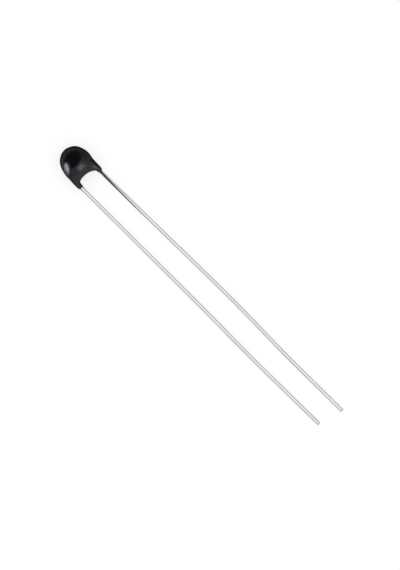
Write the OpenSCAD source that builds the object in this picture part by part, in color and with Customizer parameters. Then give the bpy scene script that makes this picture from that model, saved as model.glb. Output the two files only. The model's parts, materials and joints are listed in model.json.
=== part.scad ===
// Bead thermistor: a ceramic chip between two soldered wire leads, dipped in black resin.
// It lies on a surface as it comes to rest, on the belly of the bead and the tip of the long lead.
// Inside each module x runs from the top of the bead towards the lead tips, y across the leads
// and z through the thickness of the chip. resting() then lays the finished piece down.

/* [Leads] */
// Diameter of the tinned wire
wire_d = 0.4; // [0.25:0.05:0.6]
// Spacing of the two leads where they leave the resin
lead_pitch = 2.5; // [2:0.05:5]
// Free length of the long lead beyond its resin leg
long_lead_free = 34; // [20:0.1:45]
// Free length of the short lead beyond its resin leg
short_lead_free = 33.5; // [20:0.1:45]
// Radius of the two bends that bring a lead in to the chip
bend_r = 0.4; // [0.3:0.05:0.6]
// Radius of the slight bows along the free leads
bow_r = 100; // [60:5:150]
// Distance along x over which a lead crosses from its leg to the chip
lead_cross_run = 0.5; // [0.3:0.05:0.9]
// Length of wire that passes the middle of the chip
wire_past = 0.25; // [0:0.05:0.35]

/* [Chip] */
// Side of the square ceramic chip
chip_side = 1; // [0.8:0.05:1.6]
// Thickness of the ceramic
chip_t = 0.5; // [0.3:0.05:1]
// Thickness of each fired silver electrode
electrode_t = 0.03; // [0.02:0.01:0.06]

/* [Solder] */
// Film of solder between wire and electrode
solder_film = 0.02; // [0.01:0.01:0.05]
// Depth of solder over the top of the wire
solder_over = 0.04; // [0.02:0.01:0.1]
// Bare rim of electrode round the solder
solder_rim = 0.05; // [0.02:0.01:0.2]

/* [Resin] */
// Resin over the top of each solder joint
resin_cover = 0.36; // [0.2:0.02:0.8]
// Resin between the top of the bead and the chip
head_cover = 0.95; // [0.5:0.05:1.5]
// Resin wall round the wire in each leg
leg_wall = 0.09; // [0.06:0.01:0.2]
// How far the shoulders stand out past the legs
shoulder_bulge = 0.05; // [0:0.01:0.2]
// Distance from the middle of the chip to the widest part of the bead
shoulder_drop = 0.41; // [0.2:0.01:0.8]
// Sideways lean of the head towards the long lead
head_lean = 0.12; // [0:0.01:0.2]
// Distance from the outer bend of the leads to the thin web between the legs
web_past_bend = 0.35; // [0.2:0.05:0.8]
// How far the web is thicker than a leg's radius on each side
web_rise = 0.1; // [0:0.01:0.2]
// Length of web between the bulge and the arch
web_run = 0.16; // [0.1:0.01:0.5]
// Radius of the arch between the legs
arch_r = 3; // [2:0.05:6]
// How far the web runs down the long lead's leg in the corner of the arch
long_fillet = 0.33; // [0:0.01:0.4]
// How far the web runs down the short lead's leg in the corner of the arch
short_fillet = 0.08; // [0:0.01:0.3]
// Rounding of the web's edge along the arch
arch_edge = 0.25; // [0.1:0.01:0.4]
// Length of the short lead's blunt leg beyond the arch
short_leg = 0.72; // [0.5:0.01:1.5]
// Length of the long lead's tapered leg beyond the arch
long_leg = 0.92; // [0.7:0.01:2]
// Length of the rounded end of the short lead's leg
short_leg_taper = 0.3; // [0.1:0.01:0.4]
// Length of the tapered end of the long lead's leg
long_leg_taper = 0.5; // [0.2:0.01:0.6]
// Thickness of the resin's edge where a leg ends on the wire
leg_lip = 0.02; // [0.01:0.01:0.05]
// Length of the nose with which a leg grows out of the bead
leg_nose = 0.5; // [0.3:0.01:0.8]

/* [Hidden] */
$fn = 48;

// Slight bows left in each wire: [place, offset outwards], as shares of the free length, the tip last
LONG_BOWS = [[0.03, 0], [0.54, 0.0077], [0.76, 0.0032], [1, 0.0047]];
SHORT_BOWS = [[0.03, 0], [0.52, -0.0015], [0.72, 0.0006], [1, -0.0028]];
// The bent stretches are a hair fatter than the wire, and the straight ones end inside them
ELBOW_SWELL = 1.02;
ELBOW_OVERLAP = 0.05;
// Facets of the bead: rings over the head, rings below it, points round each ring
HEAD_RINGS = 10;
SKIRT_RINGS = 12;
RING_POINTS = 40;
LEG_STEPS = 8;
// How late a leg's end tapers: the higher, the blunter
LONG_LEG_BLUNT = 1.6;
SHORT_LEG_BLUNT = 3;
// Squareness of the bead's sections, from an ellipse at the head to a rounded slab at the web
HEAD_SQUARE = 2;
WEB_SQUARE = 2.8;

wire_r = wire_d / 2;
crown_x = head_cover + chip_side / 2;
chip_edge_x = crown_x + chip_side / 2;
electrode_z = chip_t / 2 + electrode_t;
wire_z = electrode_z + solder_film + wire_r;
solder_top_z = wire_z + wire_r + solder_over;
crown_z = solder_top_z + resin_cover;
bend_in_x = chip_edge_x + bend_r / 2;
bend_out_x = bend_in_x + lead_cross_run;

leg_r = wire_r + leg_wall;
shoulder_x = crown_x + shoulder_drop;
web_x = bend_out_x + web_past_bend;
arch_x = web_x + web_run;
web_z = leg_r + web_rise;
skirt_y = lead_pitch / 2 + wire_r;
shoulder_y = lead_pitch / 2 + leg_r + shoulder_bulge;
leg_inner_y = lead_pitch / 2 - leg_r;
leg_root_x = web_x - leg_nose - leg_r;
short_leg_x = arch_x + short_leg;
long_leg_x = arch_x + long_leg;

long_tip_x = long_leg_x + long_lead_free;

// The bead's belly and the long lead's tip both touch the surface
rest_tilt = atan((crown_z - wire_r) / (long_tip_x - crown_x));
rest_lift = crown_z * cos(rest_tilt);
rest_back_x = -crown_x * cos(rest_tilt);
rest_front_x = (long_tip_x - crown_x) * cos(rest_tilt) + wire_r * sin(rest_tilt);
rest_shift = -(rest_back_x + rest_front_x) / 2;

module resting() {
    translate([rest_shift, 0, rest_lift]) rotate([0, rest_tilt, 0]) translate([-crown_x, 0, 0]) children();
}

function unit(v) = v / norm(v);
function turn(a, b, c) = atan2(norm(cross(b - a, c - b)), (b - a) * (c - b));
function trim(path, radii, i) =
    i == 0 || i == len(path) - 1 ? 0
    : radii[i] * tan(turn(path[i - 1], path[i], path[i + 1]) / 2) - ELBOW_OVERLAP;

// A straight stretch of wire from a to b
module straight(a, b) {
    v = b - a;
    translate(a) rotate([0, acos(v.z / norm(v)), atan2(v.y, v.x)]) cylinder(r = wire_r, h = norm(v));
}

// A bend of radius r round the corner at b, on the way from a to c
module elbow(a, b, c, r) {
    along = unit(b - a);
    axis = unit(cross(b - a, c - b));
    out = cross(along, axis);
    start = b - along * r * tan(turn(a, b, c) / 2);
    centre = start - out * r;
    multmatrix([for (k = [0:2]) [out[k], along[k], axis[k], centre[k]]])
        rotate_extrude(angle = turn(a, b, c)) translate([r, 0]) circle(r = wire_r * ELBOW_SWELL);
}

// Round wire along a list of points, with a bend radius at each inner point
module wire(path, radii) {
    for (i = [0 : len(path) - 2]) {
        along = unit(path[i + 1] - path[i]);
        straight(path[i] + along * trim(path, radii, i), path[i + 1] - along * trim(path, radii, i + 1));
    }
    for (i = [1 : len(path) - 2]) elbow(path[i - 1], path[i], path[i + 1], radii[i]);
}

// One lead, from its end on the chip's face to its cut tip. side is 1 for the long lead, -1 for the short
module lead_wire(side, leg_x, free, bows) {
    path = [
        [crown_x - wire_past, 0, side * wire_z],
        [bend_in_x, 0, side * wire_z],
        [bend_out_x, side * lead_pitch / 2, 0],
        for (b = bows) [leg_x + b[0] * free, side * (lead_pitch / 2 + b[1] * free), 0]
    ];
    radii = [0, bend_r, bend_r, for (b = bows) bow_r];
    wire(path, radii);
}

module long_lead_wire() lead_wire(1, long_leg_x, long_lead_free, LONG_BOWS);
module short_lead_wire() lead_wire(-1, short_leg_x, short_lead_free, SHORT_BOWS);

module chip_block() {
    translate([crown_x, 0, 0]) cube([chip_side, chip_side, chip_t], center = true);
}

module electrode_plate(side) {
    translate([crown_x, 0, side * (chip_t + electrode_t) / 2])
        cube([chip_side, chip_side, electrode_t], center = true);
}

// A cap of solder on one electrode, before the wire is taken out of it
module solder_cap(side) {
    base_r = chip_side / 2 - solder_rim;
    height = solder_top_z - electrode_z;
    cap_r = (base_r * base_r + height * height) / (2 * height);
    intersection() {
        translate([crown_x, 0, side * (solder_top_z - cap_r)]) sphere(r = cap_r);
        translate([crown_x, 0, side * (electrode_z + height)])
            cube([chip_side, chip_side, 2 * height], center = true);
    }
}

// Falls from 1 to 0 as share goes from 0 to 1, level at both ends and late to drop
function drop(share) = pow(1 - pow(share, 3), 2);
function share_of(x, from, to) = max(0, min(1, (x - from) / (to - from)));
function quarter(share) = sqrt(max(0, 1 - share * share));

// Half the bead's width and thickness, its lean and the squareness of its section at x
function half_width(x) =
    x < shoulder_x ? shoulder_y * quarter((shoulder_x - x) / shoulder_x)
    : skirt_y + (shoulder_y - skirt_y) * drop(share_of(x, shoulder_x, web_x));
function half_thickness(x) =
    (x < crown_x ? crown_z * quarter((crown_x - x) / crown_x)
     : web_z + (crown_z - web_z) * drop(share_of(x, crown_x, web_x)))
    * quarter(share_of(x, arch_x - arch_edge, arch_x));
function lean(x) = head_lean * drop(share_of(x, shoulder_x, web_x));
function square(x) = HEAD_SQUARE + (WEB_SQUARE - HEAD_SQUARE) * share_of(x, crown_x, web_x);

// How far the web's edge at y lies beyond the top of the arch
function arch_drop(y) =
    let (across = min(abs(y), leg_inner_y + leg_wall))
    across * across / (2 * arch_r) + (y > 0 ? long_fillet : short_fillet) * pow(across / leg_inner_y, 4);

// A point of the bead's skin: angle goes round the section, and the web's edge bows into the arch
function rounded(c, power) = sign(c) * pow(abs(c), 2 / power);
function skin_point(x, angle) =
    let (y = half_width(x) * rounded(cos(angle), square(x)))
    [x + arch_drop(y) * pow(share_of(x, shoulder_x, arch_x), 2),
     y + lean(x),
     half_thickness(x) * rounded(sin(angle), square(x))];

// The bead without its legs, as rings of skin from the top of the head to the arch
module bead_body() {
    rings = [
        for (i = [1 : HEAD_RINGS]) crown_x * (1 - cos(90 * i / HEAD_RINGS)),
        for (i = [1 : SKIRT_RINGS - 1]) crown_x + (arch_x - crown_x) * sin(90 * i / SKIRT_RINGS)
    ];
    top = [0, lean(0), 0];
    skin = [for (x = rings) for (j = [0 : RING_POINTS - 1]) skin_point(x, 360 * j / RING_POINTS)];
    edge = [for (j = [0 : RING_POINTS / 2]) skin_point(arch_x, 360 * j / RING_POINTS)];
    function at(i, j) = 1 + i * RING_POINTS + j % RING_POINTS;
    function edge_at(j) = 1 + len(skin) + (j <= RING_POINTS / 2 ? j : RING_POINTS - j);
    last = len(rings) - 1;
    faces = [
        for (j = [0 : RING_POINTS - 1]) [0, at(0, j), at(0, j + 1)],
        for (i = [0 : last - 1]) for (j = [0 : RING_POINTS - 1])
            each [[at(i, j), at(i + 1, j), at(i, j + 1)], [at(i, j + 1), at(i + 1, j), at(i + 1, j + 1)]],
        for (j = [0 : RING_POINTS - 1])
            each [[at(last, j), edge_at(j), at(last, j + 1)], [at(last, j + 1), edge_at(j), edge_at(j + 1)]]
    ];
    polyhedron(points = concat([top], skin, edge), faces = faces);
}

// The resin leg round a wire, with a nose inside the bead and an end that tapers onto the wire
module leg(side, end_x, taper, blunt) {
    nose = [
        for (i = [0 : LEG_STEPS])
            let (share = i / LEG_STEPS)
            [leg_r * quarter(1 - share), leg_root_x + leg_nose * share]
    ];
    tip = [
        for (i = [0 : LEG_STEPS])
            let (share = i / LEG_STEPS)
            [leg_r - (leg_wall - leg_lip) * pow(share, blunt), end_x - taper * (1 - share)]
    ];
    translate([0, side * lead_pitch / 2, 0]) rotate([0, 90, 0])
        rotate_extrude() polygon(concat(nose, tip, [[0, end_x]]));
}

module resin_coating() {
    color([0.06, 0.06, 0.065]) resting() difference() {
        union() {
            bead_body();
            leg(1, long_leg_x, long_leg_taper, LONG_LEG_BLUNT);
            leg(-1, short_leg_x, short_leg_taper, SHORT_LEG_BLUNT);
        }
        chip_block();
        for (side = [1, -1]) {
            electrode_plate(side);
            solder_cap(side);
        }
        long_lead_wire();
        short_lead_wire();
    }
}

module ceramic_chip() {
    color([0.2, 0.19, 0.18]) resting() chip_block();
}

module front_electrode() {
    color([0.82, 0.81, 0.78]) resting() electrode_plate(1);
}

module back_electrode() {
    color([0.82, 0.81, 0.78]) resting() electrode_plate(-1);
}

module front_solder() {
    color([0.68, 0.69, 0.71]) resting() difference() {
        solder_cap(1);
        long_lead_wire();
    }
}

module back_solder() {
    color([0.68, 0.69, 0.71]) resting() difference() {
        solder_cap(-1);
        short_lead_wire();
    }
}

module long_lead() {
    color([0.8, 0.8, 0.81]) resting() long_lead_wire();
}

module short_lead() {
    color([0.8, 0.8, 0.81]) resting() short_lead_wire();
}

resin_coating();
ceramic_chip();
front_electrode();
back_electrode();
front_solder();
back_solder();
long_lead();
short_lead();
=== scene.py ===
import json
import math

import bmesh
import bpy
from mathutils import Euler, Matrix, Vector


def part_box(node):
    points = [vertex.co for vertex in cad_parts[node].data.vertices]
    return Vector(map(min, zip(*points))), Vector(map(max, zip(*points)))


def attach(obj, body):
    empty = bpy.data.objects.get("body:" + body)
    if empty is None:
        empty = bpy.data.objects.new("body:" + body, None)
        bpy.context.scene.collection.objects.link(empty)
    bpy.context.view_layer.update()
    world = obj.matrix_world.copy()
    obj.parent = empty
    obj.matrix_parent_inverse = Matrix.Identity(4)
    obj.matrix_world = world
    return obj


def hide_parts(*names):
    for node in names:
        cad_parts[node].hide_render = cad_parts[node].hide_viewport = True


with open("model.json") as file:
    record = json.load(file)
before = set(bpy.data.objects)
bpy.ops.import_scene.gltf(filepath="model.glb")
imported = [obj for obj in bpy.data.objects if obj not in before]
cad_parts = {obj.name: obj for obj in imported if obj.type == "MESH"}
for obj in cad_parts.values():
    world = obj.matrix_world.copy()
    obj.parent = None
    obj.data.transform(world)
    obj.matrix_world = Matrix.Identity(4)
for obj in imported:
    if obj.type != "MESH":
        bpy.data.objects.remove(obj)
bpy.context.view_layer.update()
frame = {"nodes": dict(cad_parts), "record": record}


# Camera: a long lens straight above the part, turned so that the leads run from upper left to lower right.
# The picture is 57 mm high, with the middle of the part near its centre. Sizes here are in metres.
PICTURE_HEIGHT = 0.057
CAMERA_HEIGHT = 0.6
CAMERA_TURN = math.radians(45)
CAMERA_OVER = (0.0001, 0.00025)
NEAREST_SEEN = 0.01
FARTHEST_SEEN = 10

bpy.ops.object.select_all(action="DESELECT")
bpy.ops.object.camera_add(location=(*CAMERA_OVER, CAMERA_HEIGHT), rotation=(0, 0, CAMERA_TURN))
camera = bpy.context.object
camera.data.lens = camera.data.sensor_width * CAMERA_HEIGHT / PICTURE_HEIGHT
camera.data.clip_start = NEAREST_SEEN
camera.data.clip_end = FARTHEST_SEEN
bpy.context.scene.camera = camera
bpy.context.scene.view_settings.view_transform = "Standard"


# Ceramic chip: a square of pressed and sintered metal oxides, sawn from a wafer, dull and dark.
# It stays as the solid shows it, with the grain of the sintered powder.
NOISE_DETAIL = 4
# Between these levels of the coarse noise, the grain's mask goes from 0 to 1
GRAIN_LOW = 0.35
GRAIN_HIGH = 0.65


def new_material(name):
    """A named node material, its node tree and its principled shader."""
    material = bpy.data.materials.new(name)
    material.use_nodes = True
    tree = material.node_tree
    return material, tree, tree.nodes["Principled BSDF"]


def feed(tree, entry, value):
    """Link another node's output to a node's input, or set the input to a number."""
    if isinstance(value, bpy.types.NodeSocket):
        tree.links.new(value, entry)
    else:
        entry.default_value = value


def math_node(tree, operation, *values):
    """The result of one math node, given outputs of other nodes or numbers."""
    node = tree.nodes.new("ShaderNodeMath")
    node.operation = operation
    for entry, value in zip(node.inputs, values):
        feed(tree, entry, value)
    return node.outputs["Value"]


def ramp(tree, value, start, end, low=0, high=1):
    """Low where the value is at start, going evenly over to high where it is at end."""
    node = tree.nodes.new("ShaderNodeMapRange")
    feed(tree, node.inputs["Value"], value)
    feed(tree, node.inputs["From Min"], start)
    feed(tree, node.inputs["From Max"], end)
    feed(tree, node.inputs["To Min"], low)
    feed(tree, node.inputs["To Max"], high)
    return node.outputs["Result"]


def object_point(tree, scale=(1, 1, 1)):
    """Object coordinates in the tree, scaled by (x, y, z)."""
    place = tree.nodes.new("ShaderNodeTexCoord")
    mapping = tree.nodes.new("ShaderNodeMapping")
    mapping.inputs["Scale"].default_value = scale
    tree.links.new(place.outputs["Object"], mapping.inputs["Vector"])
    return mapping.outputs["Vector"]


def grain_group():
    """Node group: fine grain as a mask from 0 to 1 and as a height, from noise of two sizes."""
    group = bpy.data.node_groups.new("fine_grain", "ShaderNodeTree")
    group.interface.new_socket("Point", in_out="INPUT", socket_type="NodeSocketVector")
    for name in ("Coarse", "Fine"):
        group.interface.new_socket(name, in_out="INPUT", socket_type="NodeSocketFloat")
    for name in ("Mask", "Height"):
        group.interface.new_socket(name, in_out="OUTPUT", socket_type="NodeSocketFloat")
    given = group.nodes.new("NodeGroupInput")
    result = group.nodes.new("NodeGroupOutput")
    noises = {}
    for size in ("Coarse", "Fine"):
        noise = group.nodes.new("ShaderNodeTexNoise")
        noise.inputs["Detail"].default_value = NOISE_DETAIL
        group.links.new(given.outputs["Point"], noise.inputs["Vector"])
        group.links.new(given.outputs[size], noise.inputs["Scale"])
        noises[size] = noise.outputs["Fac"]
    mask = ramp(group, noises["Coarse"], GRAIN_LOW, GRAIN_HIGH)
    height = math_node(group, "ADD", noises["Coarse"], noises["Fine"])
    group.links.new(mask, result.inputs["Mask"])
    group.links.new(height, result.inputs["Height"])
    return group


FINE_GRAIN = grain_group()


def add_grain(tree, shader, point, coarse, fine, dark, pale, roughness, bump):
    """Grain in colour, roughness and bump. Coarse and fine are waves a metre, bump is a height in metres."""
    grain = tree.nodes.new("ShaderNodeGroup")
    grain.node_tree = FINE_GRAIN
    grain.inputs["Coarse"].default_value = coarse
    grain.inputs["Fine"].default_value = fine
    tree.links.new(point, grain.inputs["Point"])
    mask = grain.outputs["Mask"]
    tint = tree.nodes.new("ShaderNodeValToRGB")
    for stop, colour in zip(tint.color_ramp.elements, (dark, pale)):
        stop.color = (*colour, 1)
    tree.links.new(mask, tint.inputs["Fac"])
    tree.links.new(tint.outputs["Color"], shader.inputs["Base Color"])
    least, most = roughness
    tree.links.new(ramp(tree, mask, 0, 1, least, most), shader.inputs["Roughness"])
    relief = tree.nodes.new("ShaderNodeBump")
    relief.inputs["Distance"].default_value = bump
    tree.links.new(grain.outputs["Height"], relief.inputs["Height"])
    tree.links.new(relief.outputs["Normal"], shader.inputs["Normal"])
    return tint.outputs["Color"]


def dress(node, material):
    """A CAD node keeps its shape and takes this material."""
    mesh = frame["nodes"][node].data
    mesh.materials.clear()
    mesh.materials.append(material)


def sintered_ceramic():
    """Dull dark ceramic."""
    material, tree, shader = new_material("sintered_ceramic")
    add_grain(
        tree, shader, object_point(tree), coarse=9000, fine=40000,
        dark=(0.05, 0.046, 0.044), pale=(0.11, 0.1, 0.095), roughness=(0.6, 0.8), bump=4e-6,
    )
    return material


dress("ceramic_chip", sintered_ceramic())


# Electrodes: a film of silver paste printed on each face of the chip and fired on, pale and satin.
# Both stay as the solids show them.
def fired_silver():
    """Satin silver with the grain of the fired paste."""
    material, tree, shader = new_material("fired_silver")
    shader.inputs["Metallic"].default_value = 1
    add_grain(
        tree, shader, object_point(tree), coarse=12000, fine=60000,
        dark=(0.7, 0.69, 0.66), pale=(0.84, 0.83, 0.8), roughness=(0.35, 0.5), bump=2e-6,
    )
    return material


silver = fired_silver()
for electrode in ("front_electrode", "back_electrode"):
    dress(electrode, silver)


# Leads: solid copper-clad steel wire, drawn round, tinned bright and cut square at the tips.
# Each is bent in to lie along its own face of the chip, where it is soldered, and bows slightly further out.
# Leads and resin are drawn in millimetres, then laid down as the frame lies.
MM = 0.001
# How close to a place a point still counts as being there, and a face's middle as lying in the tip's plane
NEAR = 0.01
IN_PLANE = 0.001

WIRE_R = 0.2
WIRE_SIDES = 32
WIRE_SHARP = math.radians(40)
# Where the wires run, with x from the top of the bead to the tips, y across the leads and z through the chip.
# The crown of the head lies over the middle of the chip.
CROWN_X = 1.45
WIRE_END_X = 1.2
WIRE_Z = 0.5
BEND_IN_X = 2.15
BEND_OUT_X = 2.65
HALF_PITCH = 1.25
# Bows of the free lengths, which start at the ends of the resin's legs: how far along and how far outwards,
# as shares of the free length
LONG_LEG_X = 4.08
LONG_FREE = 34
LONG_BOWS = [(0.03, 0), (0.54, 0.0077), (0.76, 0.0032), (1, 0.0047)]
SHORT_LEG_X = 3.88
SHORT_FREE = 33.5
SHORT_BOWS = [(0.03, 0), (0.52, -0.0015), (0.72, 0.0006), (1, -0.0028)]
# Radius and steps of the arc at each inner corner: two bends in the resin, then three bows
BEND = (0.4, 8)
BOW = (100, 6)
LEAD_ARCS = [BEND, BEND, BOW, BOW, BOW]

TIP_ROUND = 0.08
TIP_STEPS = 5
CLADDING = 0.03
# Material slots of a wire, after the plating's
RIM_SLOT = 1
CLADDING_SLOT = 2
CORE_SLOT = 3

# Painted reflection on the long lead: a dark line painted along the top of the wire, where the dark space
# over it reflects, fading away from the bead. Its start, end, half-width and colour.
PAINTED_REFLECTION_START = (5.5, 1.225, 0)
PAINTED_REFLECTION_END = (12, 1.14, 0)
PAINTED_REFLECTION_HALF = 0.11
PAINTED_REFLECTION_COLOUR = (0.006, 0.006, 0.007, 1)
# Tin darkens to this share where it is seen at a glancing angle
GLANCING_TIN = 0.4

mounts = {mount["name"]: mount for mount in frame["record"]["mounts"]}
lead_axis = Vector(mounts["long_lead_pin"]["axis"])
rest_tilt = math.atan2(-lead_axis.z, lead_axis.x)
bead_low, bead_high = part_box("resin_coating")
rest_place = Vector((
    bead_low.x + CROWN_X * MM * math.cos(rest_tilt),
    0,
    (bead_low.z + bead_high.z) / 2,
))
LAID_DOWN = (
    Matrix.LocRotScale(rest_place, Euler((0, rest_tilt, 0)), (MM, MM, MM))
    @ Matrix.Translation((-CROWN_X, 0, 0))
)


def lay_down(piece):
    """Take a piece drawn in millimetres to where it lies in the frame, with its object at the origin."""
    bpy.ops.object.select_all(action="DESELECT")
    piece.select_set(True)
    bpy.context.view_layer.objects.active = piece
    piece.matrix_world = LAID_DOWN
    bpy.ops.object.transform_apply(location=True, rotation=True, scale=True)


def lead_corners(side, leg_x, free, bows):
    """The corners of one lead: from its end on the chip, out to its leg, then along its bows to the tip."""
    corners = [
        Vector((WIRE_END_X, 0, side * WIRE_Z)),
        Vector((BEND_IN_X, 0, side * WIRE_Z)),
        Vector((BEND_OUT_X, side * HALF_PITCH, 0)),
    ]
    for along, outwards in bows:
        corners.append(Vector((leg_x + along * free, side * (HALF_PITCH + outwards * free), 0)))
    return corners


def rounded_route(corners):
    """Points along straight runs between a lead's corners, with an arc at each inner corner."""
    points = [corners[0]]
    for before, corner, after, (radius, steps) in zip(corners, corners[1:], corners[2:], LEAD_ARCS):
        along = (corner - before).normalized()
        leaving = (after - corner).normalized()
        turn = along.angle(leaving)
        inwards = (leaving - along * along.dot(leaving)).normalized()
        start = corner - along * radius * math.tan(turn / 2)
        for step in range(steps + 1):
            angle = turn * step / steps
            points.append(start + radius * (along * math.sin(angle) + inwards * (1 - math.cos(angle))))
    points.append(corners[-1])
    return points


def pick(piece, mode, test):
    """In edit mode, select only the points (VERT) or faces (FACE) of a piece whose place passes the test."""
    bpy.ops.mesh.select_mode(type=mode)
    bpy.ops.mesh.select_all(action="DESELECT")
    sketch = bmesh.from_edit_mesh(piece.data)
    if mode == "VERT":
        places = [(point, point.co) for point in sketch.verts]
    else:
        places = [(face, face.calc_center_median()) for face in sketch.faces]
    for element, place in places:
        element.select = test(place)
    sketch.select_flush_mode()
    bmesh.update_edit_mesh(piece.data)


def assign(piece, slot):
    """In edit mode, give the selected faces of a piece one of its materials."""
    piece.active_material_index = slot
    bpy.ops.object.material_slot_assign()


def draw_wire(name, corners, metals):
    """A round wire along its corners, closed at its inner end, and rounded and cut flat at its tip.

    The metals are those of its plating, the rim of its cut tip, the cladding and the core.
    """
    tip = corners[-1]
    along = (tip - corners[-2]).normalized()
    route = rounded_route([*corners[:-1], tip - along * TIP_ROUND])
    bpy.ops.object.select_all(action="DESELECT")
    bpy.ops.curve.primitive_nurbs_path_add()
    wire = bpy.context.object
    wire.name = name
    wire.data.splines.clear()
    line = wire.data.splines.new("POLY")
    line.points.add(len(route) - 1)
    for knot, place in zip(line.points, route):
        knot.co = (*place, 1)
    wire.data.bevel_depth = WIRE_R
    wire.data.bevel_resolution = WIRE_SIDES // 2 - 2
    bpy.ops.object.convert(target="MESH")
    wire.data.materials.clear()
    for metal in metals:
        wire.data.materials.append(metal)
    bpy.ops.object.mode_set(mode="EDIT")
    pick(wire, "VERT", lambda place: (place - route[0]).length < WIRE_R + NEAR)
    bpy.ops.mesh.edge_face_add()
    pick(wire, "VERT", lambda place: (place - route[-1]).length < WIRE_R + NEAR)
    reach = 0
    radius = WIRE_R
    for step in range(1, TIP_STEPS + 1):
        angle = math.pi / 2 * step / TIP_STEPS
        ahead = TIP_ROUND * math.sin(angle)
        narrower = WIRE_R - TIP_ROUND * (1 - math.cos(angle))
        bpy.ops.mesh.extrude_region_move(TRANSFORM_OT_translate={"value": along * (ahead - reach)})
        share = narrower / radius
        bpy.ops.transform.resize(value=(share, share, share), center_override=route[-1] + along * ahead)
        reach = ahead
        radius = narrower
    bpy.ops.mesh.edge_face_add()
    assign(wire, CLADDING_SLOT)
    bpy.ops.mesh.inset(thickness=CLADDING)
    assign(wire, CORE_SLOT)
    pick(wire, "FACE", lambda place: 0 < (place - route[-1]).dot(along) < TIP_ROUND - IN_PLANE)
    assign(wire, RIM_SLOT)
    bpy.ops.mesh.select_all(action="SELECT")
    bpy.ops.mesh.normals_make_consistent(inside=False)
    bpy.ops.object.mode_set(mode="OBJECT")
    bpy.ops.object.shade_smooth_by_angle(angle=WIRE_SHARP)
    return wire


def bright_tin(name):
    """Tin drawn out along the wire: material, tree, shader and the colour of its grain."""
    material, tree, shader = new_material(name)
    shader.inputs["Metallic"].default_value = 1
    shader.inputs["Specular Tint"].default_value = (GLANCING_TIN, GLANCING_TIN, GLANCING_TIN, 1)
    drawn_along = object_point(tree, (0.04, 1, 1))
    colour = add_grain(
        tree, shader, drawn_along, coarse=6000, fine=26000,
        dark=(0.82, 0.82, 0.81), pale=(0.92, 0.92, 0.915), roughness=(0.12, 0.24), bump=1.5e-6,
    )
    return material, tree, shader, colour


def tin_with_painted_reflection():
    """The same tin with a painted reflection: a dark line painted along the top of the wire, fading away from
    the bead.
    """
    material, tree, shader, tin_colour = bright_tin("tin_with_painted_reflection")
    start = LAID_DOWN @ Vector(PAINTED_REFLECTION_START)
    end = LAID_DOWN @ Vector(PAINTED_REFLECTION_END)
    across = Vector((start.y - end.y, end.x - start.x, 0)).normalized()
    point = object_point(tree)
    parts = tree.nodes.new("ShaderNodeSeparateXYZ")
    tree.links.new(point, parts.inputs["Vector"])
    place_across = tree.nodes.new("ShaderNodeVectorMath")
    place_across.operation = "DOT_PRODUCT"
    place_across.inputs[1].default_value = across
    tree.links.new(point, place_across.inputs[0])
    aside = math_node(tree, "SUBTRACT", place_across.outputs["Value"], across.dot(start))
    distance = math_node(tree, "ABSOLUTE", aside)
    line = ramp(tree, distance, PAINTED_REFLECTION_HALF * MM, PAINTED_REFLECTION_HALF * MM / 2)
    fade = ramp(tree, parts.outputs["X"], end.x, start.x)
    top = ramp(tree, parts.outputs["Z"], end.z, end.z + WIRE_R * MM / 4)
    fading_line = math_node(tree, "MULTIPLY", line, fade)
    # Mix the painted reflection, a dark line on the wire's top, into the tin's colour
    painted_reflection = tree.nodes.new("ShaderNodeMix")
    painted_reflection.data_type = "RGBA"
    painted_reflection.inputs["B"].default_value = PAINTED_REFLECTION_COLOUR
    tree.links.new(math_node(tree, "MULTIPLY", fading_line, top), painted_reflection.inputs["Factor"])
    tree.links.new(tin_colour, painted_reflection.inputs["A"])
    tree.links.new(painted_reflection.outputs["Result"], shader.inputs["Base Color"])
    return material


def bare_metal(name, dark, pale):
    """Metal laid bare at the tip, with the marks of the cutter running down it."""
    material, tree, shader = new_material(name)
    shader.inputs["Metallic"].default_value = 1
    cut_down = object_point(tree, (1, 1, 0.15))
    add_grain(
        tree, shader, cut_down, coarse=20000, fine=60000,
        dark=dark, pale=pale, roughness=(0.35, 0.5), bump=2e-6,
    )
    return material


# Metals at the tip: the rounded rim is drawn in darker, rougher tin, and the cut face shows the copper
# cladding and the steel core
tip_metals = (
    bare_metal("darker_rim_tin", (0.3, 0.3, 0.295), (0.45, 0.45, 0.44)),
    bare_metal("cut_copper", (0.7, 0.37, 0.25), (0.85, 0.5, 0.36)),
    bare_metal("cut_steel", (0.38, 0.37, 0.36), (0.56, 0.55, 0.54)),
)
long_metals = (tin_with_painted_reflection(), *tip_metals)
short_metals = (bright_tin("bright_tin")[0], *tip_metals)
long_corners = lead_corners(1, LONG_LEG_X, LONG_FREE, LONG_BOWS)
short_corners = lead_corners(-1, SHORT_LEG_X, SHORT_FREE, SHORT_BOWS)
long_lead = draw_wire("long_lead_wire", long_corners, long_metals)
short_lead = draw_wire("short_lead_wire", short_corners, short_metals)
for wire, node in ((long_lead, "long_lead"), (short_lead, "short_lead")):
    lay_down(wire)
    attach(wire, "root")
    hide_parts(node)


# Solder joints: caps of solder that wet the silver and run up round the wire ends.
# Both stay as the solids show them, bright with a faint crystal grain.
def cooled_solder():
    """Bright solder that has set with a faint grain."""
    material, tree, shader = new_material("cooled_solder")
    shader.inputs["Metallic"].default_value = 1
    add_grain(
        tree, shader, object_point(tree), coarse=7000, fine=30000,
        dark=(0.55, 0.56, 0.58), pale=(0.7, 0.71, 0.73), roughness=(0.2, 0.4), bump=3e-6,
    )
    return material


solder = cooled_solder()
for joint in ("front_solder", "back_solder"):
    dress(joint, solder)


# Resin coating: the soldered chip is dipped in black epoxy, which draws into a round head over the chip,
# a thin web with an arched edge between the wires and a short leg down each wire.
# It is box-modelled as a cage of columns across the leads and rows down the bead, then subdivided.
EDGE_Y = 1.6
LEG_Y = 0.95
WEB_Y = 0.33
COLUMNS = (EDGE_Y, LEG_Y, WEB_Y)
CAGE_Z = 0.4
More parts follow.
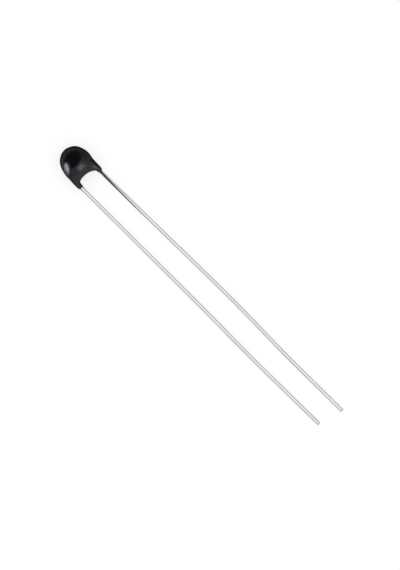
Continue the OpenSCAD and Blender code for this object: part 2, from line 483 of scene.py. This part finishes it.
# Rows from the top of the head to the arch: x, lean to the long lead, half-width, half-thickness,
# and how far the section has gone from round (0) to a slab with a leg at each side (1)
ROWS = [
    (0.03, 0.15, 0.19, 0.22, 0),
    (0.18, 0.17, 0.71, 0.58, 0),
    (0.62, 0.165, 1.27, 0.97, 0),
    (1.3, 0.14, 1.55, 1.105, 0),
    (2.0, 0.115, 1.68, 1.13, 0),
    (2.55, 0.055, 1.59, 0.6, 0.6),
    (2.9, 0.02, 1.61, 0.38, 1),
    (3.23, 0.01, 1.61, 0.32, 1),
]
HEAD_X = ROWS[0][0]
ARCH_X = ROWS[-1][0]
# How far each leg's root and the web beside it run past the arch, then the leg's rings: (x, half its side)
SHORT_LEG = (0.12, 0.02, [(3.62, 0.32), (3.88, 0.27), (3.98, 0.2)])
LONG_LEG = (0.44, 0.09, [(3.84, 0.32), (4.02, 0.265), (4.14, 0.22)])
ROOT_FROM = (LEG_Y + WEB_Y) / 2
LEG_HALF = (EDGE_Y - LEG_Y) / 2
# Where twelve points spaced evenly round a circle lie, as shares of its half-width
ROUND_SHARES = [math.cos(math.radians(angle)) / math.cos(math.radians(15)) for angle in (15, 45, 75)]
SUBDIVISIONS = 3
RESIN_SHARP = math.radians(50)
# Points of a hidden solid this close are one, and edges this short are left over from cutting
SAME_POINT = 0.0001
SLIVER = 0.00002
EPOXY_IOR = 1.55
EPOXY_TINT = (0.92, 0.92, 1, 1)


def section(width, thickness, slab):
    """(half-width, half-thickness) of a row at its edge, leg and web columns."""
    flat = [(width, LEG_HALF), (LEG_Y, thickness), (WEB_Y, thickness)]
    round_points = [
        (width * across, thickness * up) for across, up in zip(ROUND_SHARES, reversed(ROUND_SHARES))
    ]
    return [
        (flat_y * slab + round_y * (1 - slab), flat_z * slab + round_z * (1 - slab))
        for (flat_y, flat_z), (round_y, round_z) in zip(flat, round_points)
    ]


def cut_out(piece, cutter):
    """Take the cutter's shape out of a piece and delete the cutter."""
    bpy.context.view_layer.objects.active = piece
    cut = piece.modifiers.new("cut", "BOOLEAN")
    cut.operation = "DIFFERENCE"
    cut.solver = "EXACT"
    cut.object = cutter
    bpy.ops.object.modifier_apply(modifier="cut")
    bpy.data.objects.remove(cutter)


def hole_for(node):
    """A merged copy of a hidden CAD node, taken back to where the resin is drawn."""
    hole = frame["nodes"][node].copy()
    hole.data = hole.data.copy()
    hole.parent = None
    hole.data.transform(LAID_DOWN.inverted())
    bpy.context.scene.collection.objects.link(hole)
    bpy.ops.object.select_all(action="DESELECT")
    hole.select_set(True)
    bpy.context.view_layer.objects.active = hole
    bpy.ops.object.mode_set(mode="EDIT")
    bpy.ops.mesh.select_all(action="SELECT")
    bpy.ops.mesh.remove_doubles(threshold=SAME_POINT)
    bpy.ops.object.mode_set(mode="OBJECT")
    return hole


def black_epoxy():
    """Satin black epoxy, a little uneven from its dip."""
    material, tree, shader = new_material("black_epoxy")
    shader.inputs["Specular Tint"].default_value = EPOXY_TINT
    shader.inputs["IOR"].default_value = EPOXY_IOR
    add_grain(
        tree, shader, object_point(tree), coarse=2500, fine=14000,
        dark=(0.0012, 0.0012, 0.0018), pale=(0.003, 0.003, 0.0048), roughness=(0.3, 0.42), bump=9e-6,
    )
    return material


# The cage: a box cut into columns and rows, whose points are then drawn to each row's section
bpy.ops.object.select_all(action="DESELECT")
bpy.ops.mesh.primitive_cube_add(size=1, location=((HEAD_X + ARCH_X) / 2, 0, 0))
resin = bpy.context.object
resin.name = "dipped_resin"
resin.scale = (ARCH_X - HEAD_X, 2 * EDGE_Y, 2 * CAGE_Z)
bpy.ops.object.transform_apply(location=True, rotation=True, scale=True)
bpy.ops.object.mode_set(mode="EDIT")
for y in (-LEG_Y, -WEB_Y, WEB_Y, LEG_Y):
    bpy.ops.mesh.select_all(action="SELECT")
    bpy.ops.mesh.bisect(plane_co=(0, y, 0), plane_no=(0, 1, 0))
for x, *_ in ROWS[1:-1]:
    bpy.ops.mesh.select_all(action="SELECT")
    bpy.ops.mesh.bisect(plane_co=(x, 0, 0), plane_no=(1, 0, 0))
for x, lean, half_width, half_thickness, slab in ROWS:
    for column, (width, thickness) in zip(COLUMNS, section(half_width, half_thickness, slab)):
        pick(resin, "VERT", lambda place: abs(place.x - x) < NEAR and abs(abs(place.y) - column) < NEAR)
        bpy.ops.transform.resize(value=(1, width / column, thickness / CAGE_Z), center_override=(x, 0, 0))
    pick(resin, "VERT", lambda place: abs(place.x - x) < NEAR)
    bpy.ops.transform.translate(value=(0, lean, 0))

# The legs: each root is drawn out past the arch, and its end face is extruded ring by ring down the wire
for side, (root_run, web_run, rings) in ((-1, SHORT_LEG), (1, LONG_LEG)):
    pick(resin, "VERT", lambda place: abs(place.x - ARCH_X) < NEAR and place.y * side > ROOT_FROM)
    bpy.ops.transform.translate(value=(root_run, 0, 0))
    pick(resin, "VERT", lambda place: abs(place.x - ARCH_X) < NEAR and 0 < place.y * side < ROOT_FROM)
    bpy.ops.transform.translate(value=(web_run, 0, 0))
    pick(resin, "FACE", lambda place: place.x > ARCH_X + root_run - NEAR and place.y * side > LEG_Y)
    before = LEG_HALF
    for x, half in rings:
        share = half / before
        bpy.ops.mesh.extrude_region_move()
        bpy.ops.transform.resize(value=(0, share, share), center_override=(x, side * HALF_PITCH, 0))
        before = half
bpy.ops.mesh.select_all(action="SELECT")
bpy.ops.mesh.normals_make_consistent(inside=False)
bpy.ops.object.mode_set(mode="OBJECT")
smooth = resin.modifiers.new("smooth", "SUBSURF")
smooth.levels = SUBDIVISIONS
smooth.render_levels = SUBDIVISIONS
bpy.ops.object.modifier_apply(modifier="smooth")

# The cavity: room for the wires, drawn once more as they were, and for the chip, its films and the solder
cut_out(resin, draw_wire("long_lead_hole", long_corners, long_metals))
cut_out(resin, draw_wire("short_lead_hole", short_corners, short_metals))
for node in ("ceramic_chip", "front_electrode", "back_electrode", "front_solder", "back_solder"):
    cut_out(resin, hole_for(node))

# The cuts leave faces with many sides and edges of no length, so these are split up and cleared away
bpy.ops.object.select_all(action="DESELECT")
resin.select_set(True)
bpy.ops.object.mode_set(mode="EDIT")
bpy.ops.mesh.select_mode(type="FACE")
bpy.ops.mesh.select_all(action="DESELECT")
bpy.ops.mesh.select_face_by_sides(number=4, type="GREATER")
bpy.ops.mesh.quads_convert_to_tris()
bpy.ops.mesh.select_all(action="SELECT")
bpy.ops.mesh.dissolve_degenerate(threshold=SLIVER)
bpy.ops.object.mode_set(mode="OBJECT")
bpy.ops.object.shade_smooth_by_angle(angle=RESIN_SHARP)
resin.data.materials.clear()
resin.data.materials.append(black_epoxy())
lay_down(resin)
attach(resin, "root")
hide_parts("resin_coating")


# Table and sky: a white table under the part, and a soft sky that is bright above and darker at the horizon.
# The table shows white to the lens and in reflections, and keeps the part's shadow.
FLOOR_SIZE = 4
FLOOR_WHITE = 0.35
FLOOR_GLOW = 0.74
# Height of a direction over the horizon, where the dark band ends and where the sky is white
HORIZON_TO = 0.5
SKY_FROM = 0.6
# Brightness of the band beside the leads and at their two ends, and how far along the leads a direction
# points where the first of these ends and the others are reached
BESIDE_LEADS = 0.06
PAST_TIPS = 0.45
BEHIND_HEAD = 0.35
SIDE_TO = 0.35
END_FROM = 0.8


def white_table():
    """White paper, with a glow that shows only to the lens, in reflections and through clear pieces."""
    material, tree, shader = new_material("white_table")
    tree.nodes.remove(shader)
    paper = tree.nodes.new("ShaderNodeBsdfDiffuse")
    paper.inputs["Color"].default_value = (FLOOR_WHITE, FLOOR_WHITE, FLOOR_WHITE, 1)
    path = tree.nodes.new("ShaderNodeLightPath")
    seen = math_node(tree, "MAXIMUM", path.outputs["Is Camera Ray"], path.outputs["Is Glossy Ray"])
    seen = math_node(tree, "MAXIMUM", seen, path.outputs["Is Transmission Ray"])
    glow = tree.nodes.new("ShaderNodeEmission")
    glow.inputs["Color"].default_value = (1, 1, 1, 1)
    tree.links.new(math_node(tree, "MULTIPLY", seen, FLOOR_GLOW), glow.inputs["Strength"])
    both = tree.nodes.new("ShaderNodeAddShader")
    tree.links.new(paper.outputs["BSDF"], both.inputs[0])
    tree.links.new(glow.outputs["Emission"], both.inputs[1])
    tree.links.new(both.outputs["Shader"], tree.nodes["Material Output"].inputs["Surface"])
    return material


def soft_sky():
    """White above. The band at the horizon is dark beside the leads, where it draws their two lines."""
    world = bpy.data.worlds.new("soft_sky")
    world.use_nodes = True
    tree = world.node_tree
    sky = tree.nodes["Background"]
    sky.inputs["Color"].default_value = (1, 1, 1, 1)
    direction = tree.nodes.new("ShaderNodeTexCoord")
    parts = tree.nodes.new("ShaderNodeSeparateXYZ")
    tree.links.new(direction.outputs["Generated"], parts.inputs["Vector"])
    past_tips = ramp(tree, parts.outputs["X"], SIDE_TO, END_FROM, BESIDE_LEADS, PAST_TIPS)
    behind_head = ramp(tree, parts.outputs["X"], -SIDE_TO, -END_FROM, BESIDE_LEADS, BEHIND_HEAD)
    horizon = math_node(tree, "MAXIMUM", past_tips, behind_head)
    light = ramp(tree, parts.outputs["Z"], HORIZON_TO, SKY_FROM, horizon, 1)
    path = tree.nodes.new("ShaderNodeLightPath")
    strength = math_node(tree, "MAXIMUM", light, path.outputs["Is Camera Ray"])
    tree.links.new(strength, sky.inputs["Strength"])
    return world


bpy.ops.object.select_all(action="DESELECT")
bpy.ops.mesh.primitive_plane_add(size=FLOOR_SIZE)
table = bpy.context.object
table.name = "table"
table.data.materials.append(white_table())
bpy.context.scene.world = soft_sky()


# Softboxes and cards: three small softboxes close to the bead light only the resin, one for the highlight
# beside the head, a faint one past the web and one over the long leg. Three black cards, which only
# reflections see, keep the top of the head, its rim and the outer side of the long leg dark.
SOFTBOX_SPREAD = math.radians(60)
# Place, direction that it faces, roll in degrees, (length, width) and brightness
SOFTBOXES = {
    "side_softbox": ((1.5, -1.27, 0.91), (0.17, 0.85, -0.5), -25, (1.45, 0.68), 1.05),
    "end_softbox": ((3.53, 0.24, 1.02), (-1, -0.03, -0.15), 0, (1.1, 0.36), 0.42),
    "leg_softbox": ((3.57, 1.2, 1.3), (0, 0, -1), 0, (0.5, 0.3), 0.65),
}
# The round card's place and radius, and the others' place and (length, width)
ROUND_CARD = ((0.2, 0, 2.6), 3.5)
ROUND_CARD_SIDES = 64
SQUARE_CARDS = {
    "card_under_head": ((-1.6, 2.5, -1.05), (11.6, 13)),
    "card_beside_leg": ((3.6, 3.1, 1.8), (1.2, 1.8)),
}

only_resin = bpy.data.collections.new("lit_by_softboxes")
only_resin.objects.link(resin)
for name, (place, facing, roll, (length, width), brightness) in SOFTBOXES.items():
    aim = Vector(facing).to_track_quat("-Z", "Y").to_matrix()
    turn = aim @ Matrix.Rotation(math.radians(roll), 3, "Z")
    bpy.ops.object.light_add(type="AREA", location=LAID_DOWN @ Vector(place), rotation=turn.to_euler())
    lamp = bpy.context.object
    lamp.name = name
    lamp.data.shape = "ELLIPSE"
    lamp.data.size = length * MM
    lamp.data.size_y = width * MM
    lamp.data.spread = SOFTBOX_SPREAD
    lamp.data.energy = brightness * math.pi * length * width * MM ** 2
    lamp.visible_camera = False
    lamp.visible_diffuse = False
    lamp.light_linking.receiver_collection = only_resin

black_paper, _, paper_shader = new_material("black_paper")
paper_shader.inputs["Base Color"].default_value = (0, 0, 0, 1)
paper_shader.inputs["Specular IOR Level"].default_value = 0


def finish_card(name):
    """Name the card just added, make it black paper, and hide it from all but reflections."""
    card = bpy.context.object
    card.name = name
    card.data.materials.append(black_paper)
    card.visible_camera = False
    card.visible_diffuse = False
    card.visible_shadow = False
    card.visible_transmission = False


place, radius = ROUND_CARD
bpy.ops.mesh.primitive_circle_add(
    vertices=ROUND_CARD_SIDES, radius=radius * MM, fill_type="NGON", location=LAID_DOWN @ Vector(place)
)
finish_card("card_over_head")
for name, (place, (length, width)) in SQUARE_CARDS.items():
    bpy.ops.mesh.primitive_plane_add(size=MM, location=LAID_DOWN @ Vector(place))
    bpy.context.object.scale = (length, width, 1)
    finish_card(name)
